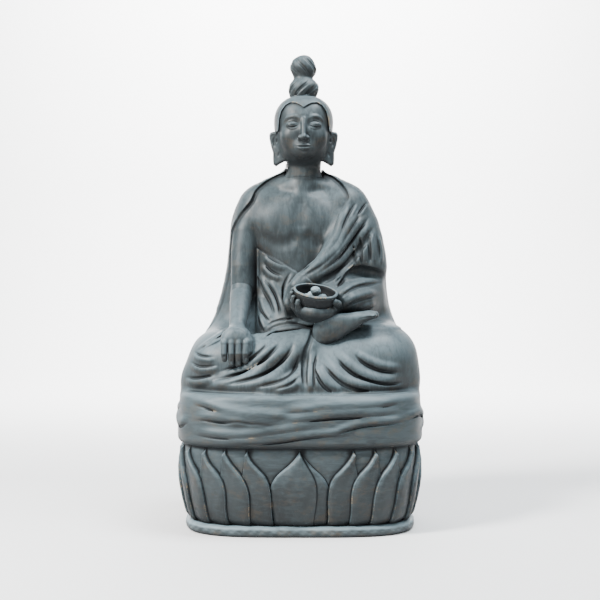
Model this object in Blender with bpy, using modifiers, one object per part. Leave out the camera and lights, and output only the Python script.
"""Seated robed figure on a draped seat and a lotus plinth: hollow castings around a steel armature.

Metres, +Z up, the figure faces -Y, origin on the floor under the middle of the plinth.
The figure's own right arm is on the -X side.
"""

import math

import bmesh
import bpy
from mathutils import Matrix, Vector

# Driving dimensions
GAP = 0.0004                    # between castings that rest on each other
WALL = 0.008                    # glass-fibre laminate
HALF_WIDTH = 0.331              # widest part of the plinth
HALF_DEPTH = 0.258
PLAN_POWER = 3.6                # superellipse: 2 is an ellipse, larger is squarer
RIM_TOP = 0.030
LOTUS_TOP = 0.226
SEAT_TOP = 0.360
LAP_TOP = 0.532                 # joint between the crossed legs and the torso above them
NECK_Z = 0.938                  # joint between the torso and the neck
HEAD_X = 0.010                  # the head is carried a little to the figure's left
CROWN_Z = 1.160                 # flat on the head that carries the hair knots
KNOT_JOINT_Z = 1.218
SPLIT_Y = 0.062                 # plane between the figure's front castings and the robe's back
POST_X, POST_Y = 0.0, 0.045     # armature post's axis
POST_R = 0.0213
BAR_R = 0.0085
PIN_R = 0.005
PIN_PLAY = 0.0005

FLOOR_Z, BOARD_T = 0.0105, 0.012
RIM_SPREAD = 0.085              # the rim's inner wall, in from the plan's edge
PLATE_HALF, PLATE_T = 0.085, 0.006
BOLT_OFFSET, BOLT_R = 0.065, 0.005
CLIP_COUNT = 6
CLIP_SIZE = (0.044, 0.016, 0.004)
SCREW_R = 0.0022

PERIMETER = 2.04                # round the plinth's widest outline
FIRST_PETAL = 0.134             # along the outline, from the petal in the middle of a side
PETALS_A_QUARTER = 6
MIDDLE_HALF_WIDTH = 0.082
PETAL_HALF_WIDTH = 0.062
PETAL_DEPTH = 0.012
PLAN_COLUMNS = 112

STONE_PAINT = (0.115, 0.145, 0.155)
STEEL = (0.30, 0.31, 0.32)
ZINC = (0.55, 0.56, 0.57)
PLYWOOD = (0.52, 0.37, 0.21)
TIMBER = (0.45, 0.30, 0.16)


def fresh_scene():
    """Removes every object, and returns the collections for the object and for its cutters."""
    for old in list(bpy.data.objects):
        bpy.data.objects.remove(old)
    made = []
    for name in ("statue", "cutters"):
        collection = bpy.data.collections.new(name)
        bpy.context.scene.collection.children.link(collection)
        made.append(collection)
    return made


STATUE, CUTTERS = fresh_scene()


def material(name, color, roughness, metallic=0.0):
    made = bpy.data.materials.new(name)
    made.use_nodes = True
    shader = made.node_tree.nodes["Principled BSDF"]
    shader.inputs["Base Color"].default_value = (*color, 1.0)
    shader.inputs["Roughness"].default_value = roughness
    shader.inputs["Metallic"].default_value = metallic
    return made


PAINT = material("aged_paint", STONE_PAINT, 0.55)
BARE_STEEL = material("armature_steel", STEEL, 0.45, 0.9)
ZINC_PLATE = material("zinc_fastener", ZINC, 0.35, 1.0)
PLY = material("plywood", PLYWOOD, 0.7)
WOOD = material("timber_plug", TIMBER, 0.7)


def as_object(name, mesh, finish=None, collection=None):
    made = bpy.data.objects.new(name, mesh)
    (collection or STATUE).objects.link(made)
    if finish:
        mesh.materials.clear()
        mesh.materials.append(finish)
    return made


def from_bmesh(name, bm, finish=None, collection=None):
    bmesh.ops.recalc_face_normals(bm, faces=bm.faces)
    mesh = bpy.data.meshes.new(name)
    bm.to_mesh(mesh)
    bm.free()
    return as_object(name, mesh, finish, collection)


def apply_modifiers(obj):
    """Replaces the object's mesh with what its modifiers make of it."""
    bpy.context.view_layer.update()
    graph = bpy.context.evaluated_depsgraph_get()
    baked = bpy.data.meshes.new_from_object(obj.evaluated_get(graph))
    obj.modifiers.clear()
    obj.data = baked
    return obj


def remove(*objects):
    for obj in objects:
        bpy.data.objects.remove(obj)


def boolean(obj, other, operation):
    modifier = obj.modifiers.new(operation.lower(), "BOOLEAN")
    modifier.solver = "EXACT"
    modifier.operation = operation
    modifier.object = other
    apply_modifiers(obj)


def cut(obj, *cutters):
    """Subtracts each cutter and removes it."""
    for cutter in cutters:
        boolean(obj, cutter, "DIFFERENCE")
    remove(*cutters)


def drop_crumbs(obj):
    """Keeps only the largest piece of a casting that its cuts have parted."""
    bm = bmesh.new()
    bm.from_mesh(obj.data)
    unseen, pieces = set(bm.verts), []
    while unseen:
        stack, piece = [unseen.pop()], []
        while stack:
            vert = stack.pop()
            piece.append(vert)
            for edge in vert.link_edges:
                other = edge.other_vert(vert)
                if other in unseen:
                    unseen.remove(other)
                    stack.append(other)
        pieces.append(piece)
    pieces.sort(key=len)
    for piece in pieces[:-1]:
        bmesh.ops.delete(bm, geom=piece, context="VERTS")
    bm.to_mesh(obj.data)
    bm.free()


def smooth_shade(obj, angle=40):
    obj.data.shade_smooth()
    obj.data.set_sharp_from_angle(angle=math.radians(angle))


# Lumps: the rounded masses that a figure is blocked out from


def egg(centre, radii, turn=(0, 0, 0)):
    """An ellipsoid; turn is in degrees about X, Y and Z."""
    return {"centre": Vector(centre), "radii": radii, "turn": turn}


def pill(start, end, start_radius, end_radius):
    """A limb between two points, with a round at each end."""
    return {"ends": ((Vector(start), start_radius), (Vector(end), end_radius))}


def ball_points(centre, radii, turn=(0, 0, 0)):
    bm = bmesh.new()
    bmesh.ops.create_icosphere(bm, subdivisions=3, radius=1.0)
    rotation = Matrix.Identity(3)
    for axis, degrees in zip("XYZ", turn):
        rotation = Matrix.Rotation(math.radians(degrees), 3, axis) @ rotation
    points = [centre + rotation @ Vector(v.co[i] * radii[i] for i in range(3)) for v in bm.verts]
    bm.free()
    return points


def add_lump(bm, lump, inset):
    """Adds one lump, with every radius smaller by inset, as a convex hull."""
    if "ends" in lump:
        points = []
        for centre, radius in lump["ends"]:
            points += ball_points(centre, (radius - inset,) * 3)
    else:
        points = ball_points(lump["centre"], [r - inset for r in lump["radii"]], lump["turn"])
    verts = [bm.verts.new(p) for p in points]
    hull = bmesh.ops.convex_hull(bm, input=verts)
    spare = [v for v in hull["geom_interior"] if isinstance(v, bmesh.types.BMVert)]
    bmesh.ops.delete(bm, geom=spare, context="VERTS")


def blocked_out(name, lumps, voxel, triangles, inset=0.0, finish=PAINT):
    """Fuses the lumps into one skin with a voxel remesh, and thins it to about that many triangles."""
    bm = bmesh.new()
    for lump in lumps:
        add_lump(bm, lump, inset)
    obj = from_bmesh(name, bm, finish)
    remesh = obj.modifiers.new("fuse", "REMESH")
    remesh.mode = "VOXEL"
    remesh.voxel_size = voxel
    relax = obj.modifiers.new("relax", "SMOOTH")
    relax.factor = 0.5
    relax.iterations = 2
    apply_modifiers(obj)
    count = sum(len(p.vertices) - 2 for p in obj.data.polygons)
    thin = obj.modifiers.new("thin", "DECIMATE")
    thin.ratio = min(1.0, triangles / count)
    apply_modifiers(obj)
    obj.data.materials.clear()
    obj.data.materials.append(finish)
    return obj


def box(low, high, name="box_cutter"):
    bm = bmesh.new()
    bmesh.ops.create_cube(bm, size=1.0)
    size = [high[i] - low[i] for i in range(3)]
    middle = [(high[i] + low[i]) / 2 for i in range(3)]
    bmesh.ops.scale(bm, vec=size, verts=bm.verts)
    bmesh.ops.translate(bm, vec=middle, verts=bm.verts)
    return from_bmesh(name, bm, collection=CUTTERS)


def rod(name, start, end, radius, finish=None, sides=24, collection=None, taper=None):
    """A straight round bar between two points; taper is the radius at the far end."""
    start, end = Vector(start), Vector(end)
    along = end - start
    bm = bmesh.new()
    bmesh.ops.create_cone(bm, cap_ends=True, segments=sides, radius1=radius,
                          radius2=radius if taper is None else taper, depth=along.length)
    turn = along.to_track_quat("Z", "Y").to_matrix().to_4x4()
    bmesh.ops.transform(bm, matrix=Matrix.Translation((start + end) / 2) @ turn, verts=bm.verts)
    made = from_bmesh(name, bm, finish, collection or (STATUE if finish else CUTTERS))
    if finish:
        smooth_shade(made)
    return made


def bore(obj, start, end, radius, sides=16):
    cut(obj, rod("bore_cutter", start, end, radius + PIN_PLAY, sides=sides))


def swollen(obj, gap):
    """A cutter a little larger than the object all over."""
    copy = as_object("swollen_cutter", obj.data.copy(), collection=CUTTERS)
    grow = copy.modifiers.new("grow", "DISPLACE")
    grow.mid_level = 0.0
    grow.strength = gap
    return apply_modifiers(copy)


def keep_above(obj, z):
    cut(obj, box((-1, -1, -1), (1, 1, z)))


def keep_below(obj, z):
    cut(obj, box((-1, -1, z), (1, 1, 3)))


# Plinth and seat: lofts over a superellipse plan


def even_plan(columns):
    """Unit superellipse points, evenly spaced along the plinth's outline, from the middle of the front."""
    fine = 4000
    outline = []
    for i in range(fine + 1):
        angle = -math.pi / 2 + 2 * math.pi * i / fine
        c, s = math.cos(angle), math.sin(angle)
        x = math.copysign(abs(c) ** (2 / PLAN_POWER), c)
        y = math.copysign(abs(s) ** (2 / PLAN_POWER), s)
        outline.append(Vector((x, y)))
    lengths = [0.0]
    for a, b in zip(outline, outline[1:]):
        lengths.append(lengths[-1] + math.hypot((b.x - a.x) * HALF_WIDTH, (b.y - a.y) * HALF_DEPTH))
    plan, j = [], 0
    for k in range(columns):
        wanted = lengths[-1] * k / columns
        while lengths[j + 1] < wanted:
            j += 1
        share = (wanted - lengths[j]) / (lengths[j + 1] - lengths[j])
        plan.append(outline[j].lerp(outline[j + 1], share))
    return plan


def petal_places():
    """(place along the outline, half width) of each petal, the middle petal of each side included."""
    quarter = PERIMETER / 4
    pitch = (quarter - FIRST_PETAL) / PETALS_A_QUARTER
    places = []
    for side in range(4):
        places.append((side * quarter, MIDDLE_HALF_WIDTH if side % 2 == 0 else PETAL_HALF_WIDTH))
        for k in range(PETALS_A_QUARTER):
            along = FIRST_PETAL + k * pitch
            places.append((side * quarter + (along if side % 2 == 0 else quarter - along), PETAL_HALF_WIDTH))
    return places


def petal_outline(share_up):
    """A petal's half width at a share of its height, 1 at its widest: full below, an ogee to the tip."""
    if share_up < 0.5:
        return 0.9 + 0.1 * math.sin(math.pi * share_up)
    rise = (share_up - 0.5) / 0.5
    return 0.5 + 0.5 * math.cos(math.pi * min(1.0, rise) ** 1.25)


def petal_relief(share_round, share_up):
    """How far the petals stand out of the plinth, 0 to 1, at a place round it and up it."""
    deepest = 0.0
    for place, half_width in petal_places():
        off = (share_round * PERIMETER - place + PERIMETER / 2) % PERIMETER - PERIMETER / 2
        reach = max(1e-6, half_width * petal_outline(share_up))
        deepest = max(deepest, 1.0 - (off / reach) ** 2)
    return max(0.0, deepest) ** 0.5 * min(1.0, 8 * share_up, 5 * (1 - share_up))


def lofted(sections, columns, relief=0.0):
    """A skin through (z, share of the plan's width) sections."""
    plan = even_plan(columns)
    bm = bmesh.new()
    rings = []
    z_low, z_high = sections[0][0], sections[-1][0]
    for z, spread in sections:
        ring = []
        for k, unit in enumerate(plan):
            out = relief * petal_relief(k / columns, (z - z_low) / (z_high - z_low)) if relief else 0.0
            base = Vector((unit.x * (HALF_WIDTH - spread), unit.y * (HALF_DEPTH - spread), z))
            ring.append(bm.verts.new(base + Vector((unit.x, unit.y, 0)).normalized() * out))
        rings.append(ring)
    for low, high in zip(rings, rings[1:]):
        for k in range(columns):
            n = (k + 1) % columns
            bm.faces.new((low[k], low[n], high[n], high[k]))
    return bm


def cast_skin(name, sections, columns, inner_sections, relief=0.0):
    """The loft as a solid with a plainer loft taken out of it, which leaves the casting's wall."""
    made = from_bmesh(name, capped(lofted(sections, columns, relief)), PAINT)
    cut(made, from_bmesh("inner", capped(lofted(inner_sections, 36)), collection=CUTTERS))
    smooth_shade(made, 50)
    return made


def plinth_rim():
    """The moulded foot that carries everything, with its flat face on the floor."""
    outer = from_bmesh("plinth_rim", capped(lofted([
        (0.0, 0.040), (0.004, 0.034), (0.012, 0.030), (0.022, 0.031), (RIM_TOP, 0.038)], 44)), PAINT)
    hollow = from_bmesh("rim_hollow", capped(lofted([(-0.01, RIM_SPREAD), (0.05, RIM_SPREAD)], 32)),
                        collection=CUTTERS)
    cut(outer, hollow)
    smooth_shade(outer, 35)
    return outer


def capped(bm):
    """Closes a loft's open ends with flat faces."""
    bmesh.ops.holes_fill(bm, edges=[e for e in bm.edges if e.is_boundary], sides=0)
    return bm


def lotus_base():
    rows = 6
    low, high = RIM_TOP + GAP, LOTUS_TOP
    sections = []
    for i in range(rows):
        t = i / (rows - 1)
        bulge = 0.030 * (1 - t) ** 2.2 + 0.014 * t ** 4
        sections.append((low + (high - low) * t, bulge + PETAL_DEPTH))
    inner = [(z, spread + WALL) for z, spread in sections[::2]]
    inner = [(low - 0.01, inner[0][1]), *inner, (high + 0.01, inner[-1][1])]
    return cast_skin("lotus_base", sections, PLAN_COLUMNS, inner, relief=PETAL_DEPTH)


def draped_seat():
    low, high = LOTUS_TOP + GAP, SEAT_TOP
    profile = ((0.0, 0.020), (0.07, 0.006), (0.28, 0.002), (0.45, 0.007), (0.62, 0.001), (0.84, 0.006),
               (0.95, 0.014), (1.0, 0.028))
    sections = [(low + (high - low) * t, spread) for t, spread in profile]
    inner = [(low - 0.01, 0.030), (high - 0.030, 0.018), (high - WALL, 0.036)]
    seat = cast_skin("draped_seat", sections, 44, inner)
    bore(seat, (POST_X, POST_Y, 0.30), (POST_X, POST_Y, 0.40), POST_R, sides=24)
    return seat


# The figure's masses


def chain(*stops):
    """Pills from stop to stop; a stop is a centre and a radius."""
    return [pill(a[:3], b[:3], a[3], b[3]) for a, b in zip(stops, stops[1:])]


LEGS = [
    pill((-0.10, 0.05, 0.442), (-0.222, -0.060, 0.440), 0.090, 0.086),
    pill((0.10, 0.05, 0.442), (0.222, -0.060, 0.440), 0.090, 0.086),
    pill((-0.215, -0.100, 0.425), (0.02, -0.150, 0.425), 0.080, 0.064),
    pill((0.215, -0.100, 0.425), (0.02, -0.150, 0.420), 0.080, 0.062),
    egg((0, 0.05, 0.440), (0.250, 0.165, 0.110)),
    egg((0, -0.09, 0.385), (0.295, 0.150, 0.070)),
]
SKIRT = chain(
    (-0.160, 0.080, 0.620, 0.040), (-0.178, 0.072, 0.540, 0.052), (-0.230, 0.030, 0.445, 0.078)) + chain(
    (0.175, 0.080, 0.620, 0.048), (0.188, 0.072, 0.540, 0.054), (0.230, 0.030, 0.445, 0.078)) + [
    pill((-0.075, 0.095, 0.720), (-0.150, 0.108, 0.440), 0.078, 0.100),
    pill((0.075, 0.095, 0.720), (0.150, 0.108, 0.440), 0.078, 0.100),
    pill((0, 0.088, 0.820), (0, 0.112, 0.440), 0.080, 0.106),
]
TORSO = [
    egg((0, 0.045, 0.790), (0.120, 0.086, 0.125)),
    egg((0, 0.030, 0.660), (0.112, 0.090, 0.140)),
    egg((0, 0.040, 0.550), (0.140, 0.100, 0.110)),
    pill((-0.098, 0.055, 0.860), (0.105, 0.055, 0.862), 0.050, 0.052),
    pill((0, 0.050, 0.880), (HEAD_X, 0.040, 0.940), 0.070, 0.048),
]
ROBE = chain(
    (-0.030, 0.060, 0.915, 0.040), (-0.105, 0.068, 0.868, 0.052), (-0.140, 0.082, 0.760, 0.050),
    (-0.155, 0.085, 0.640, 0.044)) + chain(
    (0.030, 0.060, 0.915, 0.042), (0.120, 0.062, 0.866, 0.058), (0.158, 0.078, 0.760, 0.054),
    (0.172, 0.085, 0.640, 0.050)) + [
    pill((-0.060, 0.085, 0.840), (-0.075, 0.095, 0.700), 0.068, 0.078),
    pill((0.060, 0.085, 0.840), (0.075, 0.095, 0.700), 0.070, 0.080),
]
LEFT_ARM = [
    pill((0.142, 0.045, 0.850), (0.180, 0.030, 0.655), 0.056, 0.052),
    pill((0.180, 0.030, 0.640), (0.122, -0.098, 0.600), 0.052, 0.036),
    pill((0.175, 0.020, 0.590), (0.150, -0.050, 0.570), 0.046, 0.034),
    pill((0.150, 0.010, 0.830), (0.030, -0.052, 0.650), 0.026, 0.024),
]
SHOULDER, ELBOW, WRIST = (-0.136, 0.035, 0.842), (-0.149, -0.005, 0.650), (-0.160, -0.152, 0.520)
FIST_X = -0.165
UPPER_ARM = [pill(SHOULDER, ELBOW, 0.042, 0.034)]
FOREARM = [pill(ELBOW, WRIST, 0.034, 0.024)]
FIST = [
    pill((-0.162, -0.168, 0.510), (FIST_X, -0.196, 0.490), 0.025, 0.025),
    pill((FIST_X, -0.202, 0.484), (FIST_X, -0.208, 0.450), 0.025, 0.019),
]
FINGER_PITCH = 0.0148
FINGER_PLACES = [FIST_X + FINGER_PITCH * i for i in (-1.5, -0.5, 0.5, 1.5)]
FINGERS = [pill((x, -0.212, 0.486), (x, -0.214, 0.438), 0.0095, 0.0085) for x in FINGER_PLACES]
THUMB = [pill((FIST_X + 0.028, -0.185, 0.498), (FIST_X + 0.035, -0.206, 0.462), 0.011, 0.009)]
BOWL_MIDDLE = Vector((0.036, -0.155, 0.592))
BOWL_R, BOWL_DEPTH, BOWL_RIM_UP = 0.056, 0.058, 0.030
BOWL_TILT = Matrix.Rotation(math.radians(8), 3, "Y") @ Matrix.Rotation(math.radians(18), 3, "X")
HAND_WRIST = (0.104, -0.112, 0.588)
LEFT_HAND = [
    pill(HAND_WRIST, (0.070, -0.140, 0.566), 0.026, 0.024),
    pill((0.066, -0.142, 0.560), (0.010, -0.170, 0.560), 0.022, 0.020),
    pill((0.010, -0.195, 0.572), (-0.020, -0.165, 0.592), 0.011, 0.009),
    pill((0.020, -0.200, 0.562), (-0.020, -0.178, 0.576), 0.011, 0.009),
    pill((0.066, -0.150, 0.560), (0.015, -0.195, 0.560), 0.016, 0.013),
]
FOOT = [
    pill((0.030, -0.150, 0.505), (0.075, -0.158, 0.520), 0.032, 0.030),
    pill((0.075, -0.158, 0.520), (0.140, -0.150, 0.538), 0.028, 0.022),
    pill((0.140, -0.150, 0.538), (0.196, -0.135, 0.553), 0.018, 0.010),
]
HEAD = [
    egg((HEAD_X, 0.040, 1.080), (0.081, 0.094, 0.083)),
    egg((HEAD_X, 0.012, 1.040), (0.066, 0.072, 0.070)),
    egg((HEAD_X, -0.005, 1.005), (0.046, 0.052, 0.034)),
    pill((HEAD_X, 0.045, 1.000), (HEAD_X, 0.045, 0.925), 0.050, 0.050),
    pill((HEAD_X, -0.052, 1.065), (HEAD_X, -0.066, 1.033), 0.010, 0.014),
]
EARS = [
    egg((HEAD_X + side * 0.080, 0.034, 1.046), (0.013, 0.020, 0.027))
    for side in (-1, 1)
] + [
    pill((HEAD_X + side * 0.081, 0.032, 1.030), (HEAD_X + side * 0.073, 0.026, 0.984), 0.011, 0.014)
    for side in (-1, 1)
]
KNOT_X, KNOT_Y = 0.008, 0.050
LOWER_KNOT = [
    egg((KNOT_X, KNOT_Y, 1.188), (0.041, 0.041, 0.037)),
    egg((KNOT_X, KNOT_Y, 1.154), (0.037, 0.037, 0.027)),
]
UPPER_KNOT = [egg((KNOT_X, KNOT_Y, 1.246), (0.035, 0.035, 0.035))]


def figure_shells(*arm):
    """The robed figure as one hollow skin, parted on flat joints: crossed legs, torso, robe's back."""
    front_only = TORSO + LEFT_ARM
    whole = blocked_out("torso_front", LEGS + SKIRT + ROBE + front_only, 0.010, 2100)
    hollow = LEGS + SKIRT + ROBE + TORSO[:4] + LEFT_ARM[:1]
    cut(whole, blocked_out("figure_hollow", hollow, 0.014, 480, inset=WALL))
    for casting in arm:
        cut(whole, swollen(casting, 0.0012))
    keep_above(whole, SEAT_TOP + GAP)
    keep_below(whole, NECK_Z)
    bore(whole, (POST_X, POST_Y, 0.85), (POST_X, POST_Y, 1.0), 0.030)
    back = as_object("robe_back", whole.data.copy(), PAINT)
    lap = as_object("lap_shell", whole.data.copy(), PAINT)
    cut(back, box((-1, -1, 0), (1, SPLIT_Y + GAP / 2, 2)))
    for piece in (whole, lap):
        cut(piece, box((-1, SPLIT_Y - GAP / 2, 0), (1, 1, 2)))
    keep_above(whole, LAP_TOP + GAP)
    keep_below(lap, LAP_TOP)
    return lap, whole, back


def right_arm():
    """Upper arm, forearm and hand: solid castings that meet on flat faces and are pinned together."""
    upper = blocked_out("right_upper_arm", UPPER_ARM, 0.006, 200)
    forearm = blocked_out("right_forearm", FOREARM, 0.005, 180)
    hand = blocked_out("right_hand", FIST + FINGERS + THUMB, 0.0035, 480)
    keep_above(upper, ELBOW[2])
    cut(forearm, box((-1, -1, ELBOW[2] - GAP), (1, 1, 2)))
    plane = WRIST[1] - 0.004
    cut(forearm, box((-1, -1, 0), (1, plane, 2)))
    cut(hand, box((-1, plane - GAP, 0), (1, 1, 2)))
    return upper, forearm, hand


def in_bowl(x, y, up):
    """A place given from the bowl's middle, up along its tilted axis."""
    return BOWL_MIDDLE + BOWL_TILT @ Vector((x, y, up))


def offering_bowl():
    """A turned bowl with an open mouth, from a half profile."""
    outer = [(0.0, 0.0), (0.020, 0.0), (0.036, 0.008), (0.048, 0.022), (0.0545, 0.040), (BOWL_R, BOWL_DEPTH)]
    inner = [(BOWL_R - 0.006, BOWL_DEPTH), (0.049, 0.042), (0.042, 0.026), (0.030, 0.013), (0.0, 0.009)]
    bm = bmesh.new()
    points = [bm.verts.new((r, 0, z)) for r, z in outer + inner]
    for a, b in zip(points, points[1:]):
        bm.edges.new((a, b))
    steps = 24
    bmesh.ops.spin(bm, geom=bm.verts[:] + bm.edges[:], axis=(0, 0, 1), cent=(0, 0, 0),
                   angle=2 * math.pi, steps=steps, use_merge=True)
    bmesh.ops.remove_doubles(bm, verts=bm.verts, dist=0.00005)
    bmesh.ops.rotate(bm, matrix=BOWL_TILT, verts=bm.verts)
    bmesh.ops.translate(bm, vec=in_bowl(0, 0, BOWL_RIM_UP - BOWL_DEPTH), verts=bm.verts)
    made = from_bmesh("offering_bowl", bm, PAINT)
    smooth_shade(made)
    return made


def bowl_room():
    """A cutter for the room that the bowl needs, from just under its foot up."""
    foot = BOWL_RIM_UP - BOWL_DEPTH - 0.0006
    return rod("bowl_room", in_bowl(0, 0, foot), in_bowl(0, 0, foot + 0.146), 0.0400, sides=20, taper=0.0720)


def jewels():
    """Cut stones heaped in the bowl: four round a raised middle one."""
    made = []
    floor = BOWL_RIM_UP - BOWL_DEPTH + 0.0270
    places = [(0.0, 0.0, 0.0295)] + [
        (0.0215 * math.cos(math.radians(a)), 0.0215 * math.sin(math.radians(a)), 0.009)
        for a in (20, 110, 200, 290)
    ]
    for number, (dx, dy, dz) in enumerate(places, 1):
        bm = bmesh.new()
        bmesh.ops.create_icosphere(bm, subdivisions=1, radius=0.0144)
        bmesh.ops.translate(bm, vec=in_bowl(dx, dy, floor + 0.004 + dz), verts=bm.verts)
        made.append(from_bmesh(f"jewel_{number}", bm, PAINT))
    return made


def head():
    made = blocked_out("head", HEAD + EARS, 0.0045, 980)
    hollow = [
        egg((HEAD_X, 0.042, 1.080), (0.081, 0.092, 0.081)),
        egg((HEAD_X, 0.030, 1.035), (0.060, 0.060, 0.070)),
        pill((HEAD_X, 0.045, 1.000), (HEAD_X, 0.045, 0.90), 0.046, 0.046),
    ]
    cut(made, blocked_out("head_hollow", hollow, 0.007, 200, inset=WALL))
    keep_above(made, NECK_Z + GAP)
    keep_below(made, CROWN_Z)
    return made


def hair_knots():
    lower = blocked_out("hair_knot_lower", LOWER_KNOT, 0.005, 200)
    upper = blocked_out("hair_knot_upper", UPPER_KNOT, 0.004, 180)
    keep_above(lower, CROWN_Z + GAP)
    keep_below(lower, KNOT_JOINT_Z)
    keep_above(upper, KNOT_JOINT_Z + GAP)
    return lower, upper


# What is inside


def disc_hole(obj, x, y, radius, sides=12, low=-1.0, high=1.0):
    cut(obj, rod("hole_cutter", (x, y, low), (x, y, high), radius, sides=sides))


def board(name, z_low, spread):
    """A flat panel that fits inside the plan, spread in from its edge."""
    bm = capped(lofted([(z_low, spread), (z_low + BOARD_T, spread)], 32))
    return from_bmesh(name, bm, PLY)


def boards():
    """Closing board and the two bulkheads that hold the post upright."""
    floor = board("floor_board", FLOOR_Z, RIM_SPREAD + 0.0015)
    bulkhead = board("lotus_bulkhead", LOTUS_TOP - 0.018, 0.037)
    seat_board = board("seat_bulkhead", SEAT_TOP - WALL - GAP - BOARD_T, 0.050)
    for panel in (bulkhead, seat_board):
        disc_hole(panel, POST_X, POST_Y, POST_R + PIN_PLAY, sides=24)
    return floor


def armature(floor, arm):
    """Steel tube post on a plate, with a bar through the shoulders that carries the bare arm."""
    plate_low = FLOOR_Z + BOARD_T + GAP
    plate = box((POST_X - PLATE_HALF, POST_Y - PLATE_HALF, plate_low),
                (POST_X + PLATE_HALF, POST_Y + PLATE_HALF, plate_low + PLATE_T), "armature_plate")
    CUTTERS.objects.unlink(plate)
    STATUE.objects.link(plate)
    plate.data.materials.append(BARE_STEEL)
    post_low = plate_low + PLATE_T + GAP
    post = rod("armature_post", (POST_X, POST_Y, post_low), (POST_X, POST_Y, 1.045), POST_R, BARE_STEEL, 24)
    cut(post, rod("tube_bore", (POST_X, POST_Y, -0.1), (POST_X, POST_Y, 1.2), POST_R - 0.003, sides=24))
    bar_start, bar_end = (-0.148, POST_Y, 0.836), (0.120, POST_Y, 0.836)
    bore(post, (-0.3, POST_Y, bar_start[2]), (0.3, POST_Y, bar_start[2]), BAR_R)
    bore(arm, (bar_start[0] - PIN_PLAY, *bar_start[1:]), bar_end, BAR_R)
    rod("shoulder_bar", bar_start, bar_end, BAR_R, BARE_STEEL, 16)
    for index, (sx, sy) in enumerate(((-1, -1), (1, -1), (1, 1), (-1, 1)), 1):
        x, y = POST_X + sx * BOLT_OFFSET, POST_Y + sy * BOLT_OFFSET
        for panel in (plate, floor):
            disc_hole(panel, x, y, BOLT_R + PIN_PLAY)
        hex_bolt(f"plate_bolt_{index}", x, y, FLOOR_Z, plate_low + PLATE_T)


def hex_bolt(name, x, y, under, top):
    """A bolt from below: hexagon head under the board, shank through, nut face level with its end."""
    head_t = 0.0065
    bm = bmesh.new()
    bmesh.ops.create_cone(bm, cap_ends=True, segments=6, radius1=0.0092, radius2=0.0092, depth=head_t)
    bmesh.ops.translate(bm, vec=(x, y, under - GAP - head_t / 2), verts=bm.verts)
    made = from_bmesh(name, bm, ZINC_PLATE)
    shank = rod("shank", (x, y, under - GAP - head_t / 2), (x, y, top + 0.014), BOLT_R, sides=12)
    boolean(made, shank, "UNION")
    remove(shank)
    nut = rod("nut", (x, y, top + GAP), (x, y, top + 0.0085), 0.0092, sides=6)
    boolean(made, nut, "UNION")
    remove(nut)
    return made


def edge_point(angle, spread):
    """Where a ray from the middle meets the plan's outline, spread in from its edge."""
    c, d = abs(math.cos(angle)), abs(math.sin(angle))
    reach = ((c / (HALF_WIDTH - spread)) ** PLAN_POWER + (d / (HALF_DEPTH - spread)) ** PLAN_POWER) \
        ** (-1 / PLAN_POWER)
    return Vector((math.cos(angle), math.sin(angle))) * reach


def board_clips(floor, rim):
    """Flat clips screwed to the closing board, each with its end in a slot of the rim."""
    low = FLOOR_Z + BOARD_T + GAP
    for index in range(CLIP_COUNT):
        angle = 2 * math.pi * (index + 0.5) / CLIP_COUNT
        centre = edge_point(angle, RIM_SPREAD)
        bm = bmesh.new()
        bmesh.ops.create_cube(bm, size=1.0)
        bmesh.ops.scale(bm, vec=CLIP_SIZE, verts=bm.verts)
        bmesh.ops.rotate(bm, verts=bm.verts, matrix=Matrix.Rotation(angle, 3, "Z"))
        bmesh.ops.translate(bm, vec=(centre.x, centre.y, low + CLIP_SIZE[2] / 2), verts=bm.verts)
        clip = from_bmesh(f"board_clip_{index + 1}", bm, ZINC_PLATE)
        cut(rim, swollen(clip, 0.0008))
        screw_at = centre - centre.normalized() * 0.012
        for panel in (clip, floor):
            disc_hole(panel, screw_at.x, screw_at.y, SCREW_R + PIN_PLAY)
        head_low = low + CLIP_SIZE[2] + GAP
        screw = rod(f"board_screw_{index + 1}", (screw_at.x, screw_at.y, FLOOR_Z + 0.001),
                    (screw_at.x, screw_at.y, head_low + 0.001), SCREW_R, ZINC_PLATE, 10)
        cap = rod("cap", (screw_at.x, screw_at.y, head_low), (screw_at.x, screw_at.y, head_low + 0.0028),
                  0.0045, sides=10, taper=0.003)
        boolean(screw, cap, "UNION")
        remove(cap)


def neck_plug(head_casting):
    """Turned timber plug on the post's top, which the head drops over."""
    plug = rod("neck_plug", (POST_X, POST_Y, 0.950), (POST_X, POST_Y, 1.000), 0.0345, WOOD, 24)
    cut(plug, rod("plug_bore", (POST_X, POST_Y, 0.9), (POST_X, POST_Y, 1.1), POST_R + PIN_PLAY, sides=24))
    cut(plug, swollen(head_casting, 0.0008))
    return plug


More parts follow.
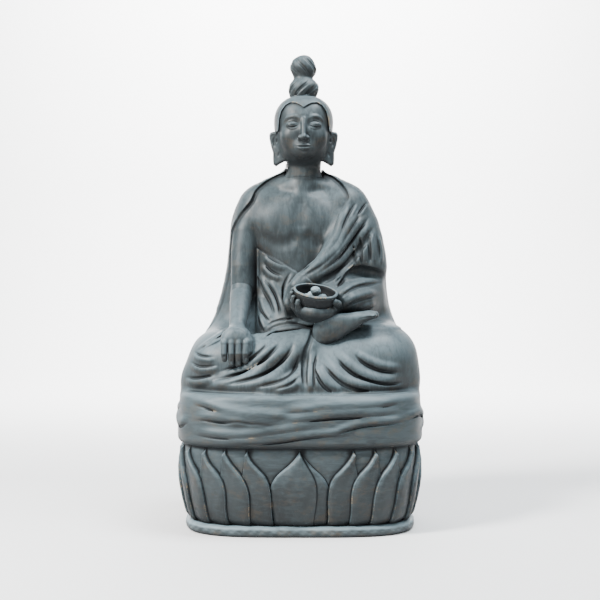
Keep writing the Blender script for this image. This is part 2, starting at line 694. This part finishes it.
def knot_rod(head_casting, lower, upper):
    """Threaded rod that strings both hair knots to the crown."""
    low, high = (KNOT_X, KNOT_Y, 1.125), (KNOT_X, KNOT_Y, 1.255)
    for casting in (head_casting, lower, upper):
        bore(casting, low, (KNOT_X, KNOT_Y, 1.2555), 0.005, sides=12)
    rod("knot_rod", low, high, 0.005, ZINC_PLATE, 12)


def dowel(name, middle, direction, length, *castings):
    """A pin across the joint between castings, in a bore with a little play at its ends."""
    half = Vector(direction).normalized() * length / 2
    play = half.normalized() * PIN_PLAY
    for casting in castings:
        bore(casting, Vector(middle) - half - play, Vector(middle) + half + play, PIN_R, sides=12)
    rod(name, Vector(middle) - half, Vector(middle) + half, PIN_R, ZINC_PLATE, 12)


def main():
    rim = plinth_rim()
    lotus_base()
    draped_seat()
    upper_arm, forearm, hand = right_arm()
    lap, front, back = figure_shells(upper_arm, forearm)
    for piece in (upper_arm, forearm, hand):
        cut(piece, swollen(lap, 0.0008))
    bowl = offering_bowl()
    jewels()
    left_hand = blocked_out("left_hand", LEFT_HAND, 0.0035, 440)
    cut(left_hand, bowl_room(), swollen(bowl, 0.0008))
    cut(front, bowl_room(), swollen(left_hand, 0.0012))
    foot = blocked_out("right_foot", FOOT, 0.0045, 280)
    cut(foot, swollen(lap, 0.0010), swollen(left_hand, 0.0010), swollen(front, 0.0008))
    skull = head()
    lower, upper = hair_knots()
    floor = boards()
    armature(floor, upper_arm)
    board_clips(floor, rim)
    neck_plug(skull)
    knot_rod(skull, lower, upper)
    dowel("elbow_pin", ELBOW, (0, 0.35, 1), 0.046, upper_arm, forearm)
    dowel("wrist_pin", (WRIST[0], WRIST[1] - 0.004, WRIST[2] - 0.004), (0, 0.75, 0.66), 0.036, forearm, hand)
    dowel("bowl_pin", in_bowl(0, 0, BOWL_RIM_UP - BOWL_DEPTH - 0.003), BOWL_TILT @ Vector((0, 0, 1)), 0.0165,
          left_hand, bowl)
    dowel("ankle_pin", (0.060, -0.150, 0.498), (0, 0, 1), 0.032, lap, foot)
    for piece in (lap, front, back, upper_arm, forearm, hand, left_hand, foot, skull, lower, upper):
        drop_crumbs(piece)
        smooth_shade(piece, 55)


main()
